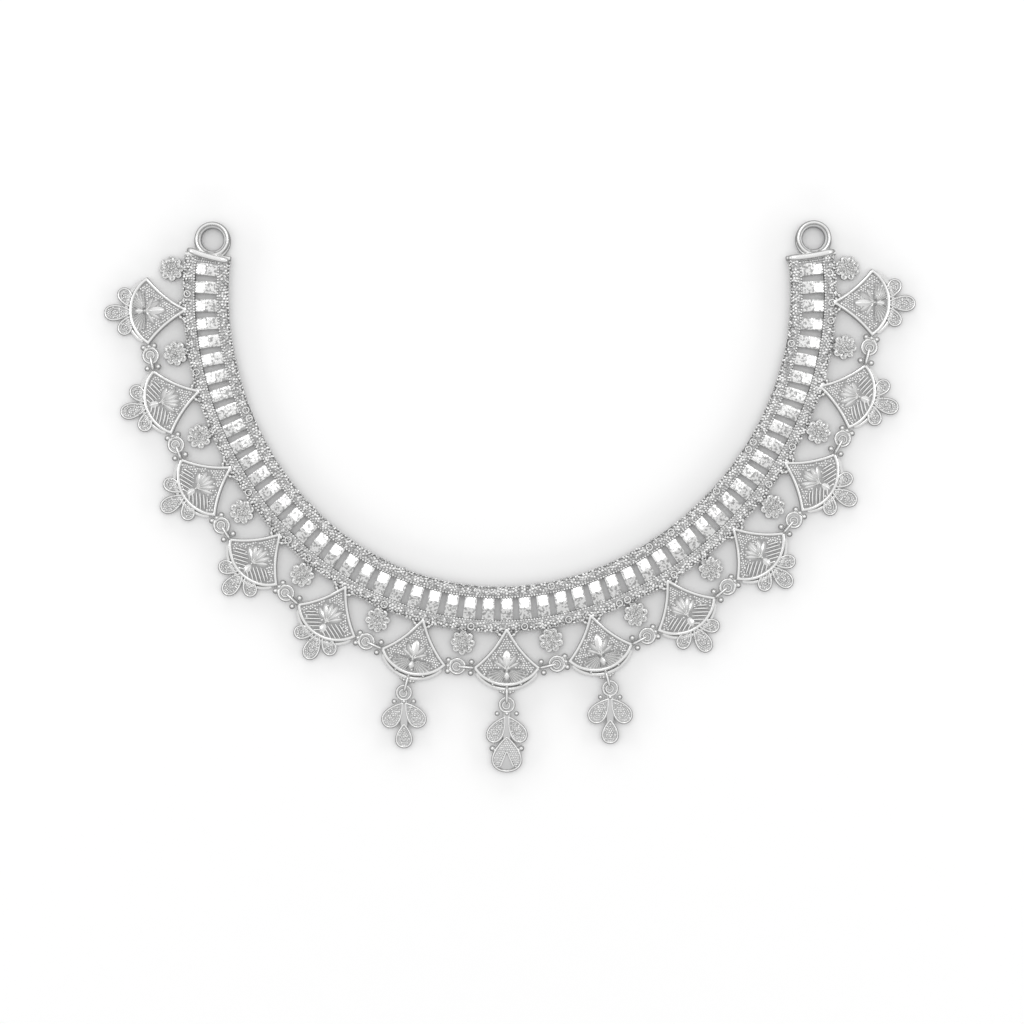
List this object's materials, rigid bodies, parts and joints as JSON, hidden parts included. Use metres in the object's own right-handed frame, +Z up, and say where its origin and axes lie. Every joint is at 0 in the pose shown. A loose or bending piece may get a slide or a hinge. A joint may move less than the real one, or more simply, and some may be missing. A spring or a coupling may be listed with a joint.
{
  "type": "silver bib necklace front",
  "caption": "Rigid silver collar necklace lying flat: ladder band, linked fan plaques with trefoils, rosettes, hanging drops and end rings for a tie cord.",
  "frame": {"origin": "middle of the collar's underside box, on the surface it lies on", "axes": "+X to the right as the collar is looked at, +Y from the drops towards the open ends with the tie rings, +Z up from the surface, face up"},
  "size_m": [0.1624, 0.1106, 0.0026],
  "materials": {
    "band_silver": "polished and granulated silver",
    "cap_silver": "high polish silver",
    "fan_silver": "granulated silver with polished rims",
    "rosette_silver": "granulated silver",
    "drop_silver": "filigree silver"
  },
  "bodies": {
    "root": {"collar_band": "band_silver", "end_cap_left": "cap_silver", "end_cap_right": "cap_silver", "fan_01": "fan_silver", "fan_02": "fan_silver", "fan_03": "fan_silver", "fan_04": "fan_silver", "fan_05": "fan_silver", "fan_06": "fan_silver", "fan_07": "fan_silver", "fan_08": "fan_silver", "fan_09": "fan_silver", "fan_10": "fan_silver", "fan_11": "fan_silver", "fan_12": "fan_silver", "fan_13": "fan_silver", "rosette_01": "rosette_silver", "rosette_02": "rosette_silver", "rosette_03": "rosette_silver", "rosette_04": "rosette_silver", "rosette_05": "rosette_silver", "rosette_06": "rosette_silver", "rosette_07": "rosette_silver", "rosette_08": "rosette_silver", "rosette_09": "rosette_silver", "rosette_10": "rosette_silver", "rosette_11": "rosette_silver", "rosette_12": "rosette_silver", "rosette_13": "rosette_silver", "rosette_14": "rosette_silver", "drop_left": "drop_silver", "drop_centre": "drop_silver", "drop_right": "drop_silver"}
  },
  "joints": []
}
